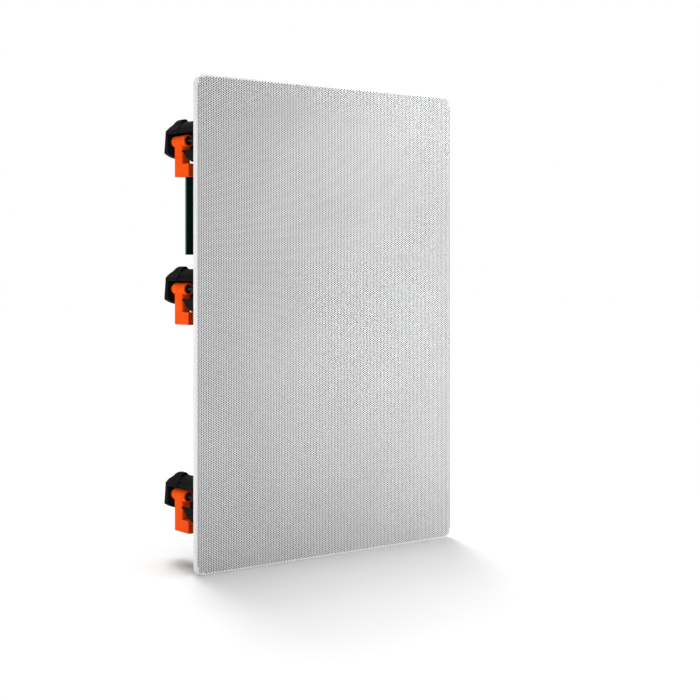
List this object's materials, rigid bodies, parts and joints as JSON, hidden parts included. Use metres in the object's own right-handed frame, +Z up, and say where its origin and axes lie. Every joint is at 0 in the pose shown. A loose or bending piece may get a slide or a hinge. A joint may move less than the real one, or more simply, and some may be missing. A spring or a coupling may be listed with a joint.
{
  "type": "in-wall speaker",
  "caption": "Flush in-wall loudspeaker with a white perforated magnetic grille, a black moulded chassis, orange swing-out clamp dogs, a woofer, a dome tweeter and a rear crossover board.",
  "frame": {"origin": "centre of the flange's back face, on the wall's surface", "axes": "+X right seen from the front, +Y into the wall, +Z up; the grille faces -Y"},
  "size_m": [0.245, 0.0935, 0.362],
  "materials": {
    "white_grille": "satin powder coat on perforated steel",
    "black_cloth": "thin knitted acoustic cloth",
    "nickel": "nickel-plated magnet",
    "black_plastic": "moulded, fine spark texture",
    "orange_plastic": "moulded glass-filled plastic, satin",
    "black_screw": "black zinc on steel",
    "brass": "turned brass",
    "black_basket": "black paint on pressed steel",
    "black_rubber": "soft matt butyl rubber",
    "cone_paper": "coated pulp and mica",
    "copper": "enamelled copper wire",
    "amber_cloth": "resin-stiffened corrugated cloth",
    "zinc_steel": "zinc-plated steel",
    "ferrite": "sintered ferrite, dull",
    "silk_dome": "coated silk",
    "green_board": "glass-epoxy board with green solder mask",
    "film_yellow": "tape-wrapped film capacitor",
    "ceramic_white": "cement-filled ceramic",
    "red_plastic": "moulded, glossy"
  },
  "bodies": {
    "chassis": {"baffle": "black_plastic", "board_posts": "black_plastic", "capacitors": "film_yellow", "chassis": "black_plastic", "clamp_tower_left_bottom": "black_plastic", "clamp_tower_left_middle": "black_plastic", "clamp_tower_left_top": "black_plastic", "clamp_tower_right_bottom": "black_plastic", "clamp_tower_right_middle": "black_plastic", "clamp_tower_right_top": "black_plastic", "crossover_board": "green_board", "crossover_screws": "black_screw", "grille_magnets": "nickel", "inductor_bobbins": "black_plastic", "inductor_windings": "copper", "resistors": "ceramic_white", "terminal_housing": "black_plastic", "tower_fixing_screws": "black_screw", "tweeter_chamber": "black_plastic", "tweeter_coil": "copper", "tweeter_dome": "silk_dome", "tweeter_faceplate": "black_plastic", "tweeter_magnet": "ferrite", "tweeter_plate": "zinc_steel", "tweeter_screws": "black_screw", "tweeter_yoke": "zinc_steel", "woofer_basket": "black_basket", "woofer_front_plate": "zinc_steel", "woofer_magnet": "ferrite", "woofer_screws": "black_screw", "woofer_spider": "amber_cloth", "woofer_surround": "black_rubber", "woofer_terminals": "brass", "woofer_trim_ring": "black_rubber", "woofer_yoke": "zinc_steel"},
    "grille": {"grille": "white_grille", "grille_scrim": "black_cloth"},
    "cone": {"woofer_cone": "cone_paper", "woofer_dust_cap": "cone_paper", "woofer_voice_coil": "copper"},
    "lever_red": {"terminal_lever_red": "red_plastic"},
    "lever_black": {"terminal_lever_black": "black_plastic"},
    "screw_left_top": {"clamp_screw_left_top": "black_screw"},
    "insert_left_top": {"clamp_insert_left_top": "black_screw"},
    "dog_left_top": {"clamp_dog_left_top": "orange_plastic"},
    "screw_right_top": {"clamp_screw_right_top": "black_screw"},
    "insert_right_top": {"clamp_insert_right_top": "black_screw"},
    "dog_right_top": {"clamp_dog_right_top": "orange_plastic"},
    "screw_left_middle": {"clamp_screw_left_middle": "black_screw"},
    "insert_left_middle": {"clamp_insert_left_middle": "black_screw"},
    "dog_left_middle": {"clamp_dog_left_middle": "orange_plastic"},
    "screw_right_middle": {"clamp_screw_right_middle": "black_screw"},
    "insert_right_middle": {"clamp_insert_right_middle": "black_screw"},
    "dog_right_middle": {"clamp_dog_right_middle": "orange_plastic"},
    "screw_left_bottom": {"clamp_screw_left_bottom": "black_screw"},
    "insert_left_bottom": {"clamp_insert_left_bottom": "black_screw"},
    "dog_left_bottom": {"clamp_dog_left_bottom": "orange_plastic"},
    "screw_right_bottom": {"clamp_screw_right_bottom": "black_screw"},
    "insert_right_bottom": {"clamp_insert_right_bottom": "black_screw"},
    "dog_right_bottom": {"clamp_dog_right_bottom": "orange_plastic"}
  },
  "joints": [
    {"name": "grille_pull", "type": "slide", "parent": "chassis", "child": "grille", "axis": [0, -1, 0], "range_m": [0, 0.04]},
    {"name": "woofer_excursion", "type": "slide", "parent": "chassis", "child": "cone", "axis": [0, -1, 0], "range_m": [-0.005, 0.005], "stiffness_N_per_m": 1100, "deforming": ["woofer_surround", "woofer_spider"]},
    {"name": "lever_red_press", "type": "hinge", "parent": "chassis", "child": "lever_red", "pos_m": [0.0412, 0.0789, 0.075], "axis": [-1, 0, 0], "range_deg": [0, 12], "stiffness_Nm_per_rad": 0.03, "springref_deg": -5.73},
    {"name": "lever_black_press", "type": "hinge", "parent": "chassis", "child": "lever_black", "pos_m": [0.0602, 0.0789, 0.075], "axis": [-1, 0, 0], "range_deg": [0, 12], "stiffness_Nm_per_rad": 0.03, "springref_deg": -5.73},
    {"name": "screw_left_top_spin", "type": "hinge", "parent": "chassis", "child": "screw_left_top", "pos_m": [-0.1035, 0, 0.1363], "axis": [0, 1, 0], "range_deg": [0, 4500]},
    {"name": "insert_left_top_slide", "type": "slide", "parent": "chassis", "child": "insert_left_top", "axis": [0, -1, 0], "range_m": [0, 0.02]},
    {"name": "dog_left_top_swing", "type": "hinge", "parent": "insert_left_top", "child": "dog_left_top", "pos_m": [-0.1035, 0.045, 0.1363], "axis": [0, 1, 0], "range_deg": [0, 90]},
    {"name": "screw_right_top_spin", "type": "hinge", "parent": "chassis", "child": "screw_right_top", "pos_m": [0.1035, 0, 0.1363], "axis": [0, 1, 0], "range_deg": [0, 4500]},
    {"name": "insert_right_top_slide", "type": "slide", "parent": "chassis", "child": "insert_right_top", "axis": [0, -1, 0], "range_m": [0, 0.02]},
    {"name": "dog_right_top_swing", "type": "hinge", "parent": "insert_right_top", "child": "dog_right_top", "pos_m": [0.1035, 0.045, 0.1363], "axis": [0, 1, 0], "range_deg": [0, 90]},
    {"name": "screw_left_middle_spin", "type": "hinge", "parent": "chassis", "child": "screw_left_middle", "pos_m": [-0.1035, 0, 0.02519], "axis": [0, 1, 0], "range_deg": [0, 4500]},
    {"name": "insert_left_middle_slide", "type": "slide", "parent": "chassis", "child": "insert_left_middle", "axis": [0, -1, 0], "range_m": [0, 0.02]},
    {"name": "dog_left_middle_swing", "type": "hinge", "parent": "insert_left_middle", "child": "dog_left_middle", "pos_m": [-0.1035, 0.045, 0.02519], "axis": [0, 1, 0], "range_deg": [0, 90]},
    {"name": "screw_right_middle_spin", "type": "hinge", "parent": "chassis", "child": "screw_right_middle", "pos_m": [0.1035, 0, 0.02519], "axis": [0, 1, 0], "range_deg": [0, 4500]},
    {"name": "insert_right_middle_slide", "type": "slide", "parent": "chassis", "child": "insert_right_middle", "axis": [0, -1, 0], "range_m": [0, 0.02]},
    {"name": "dog_right_middle_swing", "type": "hinge", "parent": "insert_right_middle", "child": "dog_right_middle", "pos_m": [0.1035, 0.045, 0.02519], "axis": [0, 1, 0], "range_deg": [0, 90]},
    {"name": "screw_left_bottom_spin", "type": "hinge", "parent": "chassis", "child": "screw_left_bottom", "pos_m": [-0.1035, 0, -0.13039], "axis": [0, 1, 0], "range_deg": [0, 4500]},
    {"name": "insert_left_bottom_slide", "type": "slide", "parent": "chassis", "child": "insert_left_bottom", "axis": [0, -1, 0], "range_m": [0, 0.02]},
    {"name": "dog_left_bottom_swing", "type": "hinge", "parent": "insert_left_bottom", "child": "dog_left_bottom", "pos_m": [-0.1035, 0.045, -0.13039], "axis": [0, 1, 0], "range_deg": [0, 90]},
    {"name": "screw_right_bottom_spin", "type": "hinge", "parent": "chassis", "child": "screw_right_bottom", "pos_m": [0.1035, 0, -0.13039], "axis": [0, 1, 0], "range_deg": [0, 4500]},
    {"name": "insert_right_bottom_slide", "type": "slide", "parent": "chassis", "child": "insert_right_bottom", "axis": [0, -1, 0], "range_m": [0, 0.02]},
    {"name": "dog_right_bottom_swing", "type": "hinge", "parent": "insert_right_bottom", "child": "dog_right_bottom", "pos_m": [0.1035, 0.045, -0.13039], "axis": [0, 1, 0], "range_deg": [0, 90]}
  ],
  "couplings": [
    {"joint": "screw_left_top_spin", "follows": "insert_left_top_slide", "rad_per_m": 3927},
    {"joint": "screw_right_top_spin", "follows": "insert_right_top_slide", "rad_per_m": 3927},
    {"joint": "screw_left_middle_spin", "follows": "insert_left_middle_slide", "rad_per_m": 3927},
    {"joint": "screw_right_middle_spin", "follows": "insert_right_middle_slide", "rad_per_m": 3927},
    {"joint": "screw_left_bottom_spin", "follows": "insert_left_bottom_slide", "rad_per_m": 3927},
    {"joint": "screw_right_bottom_spin", "follows": "insert_right_bottom_slide", "rad_per_m": 3927}
  ]
}
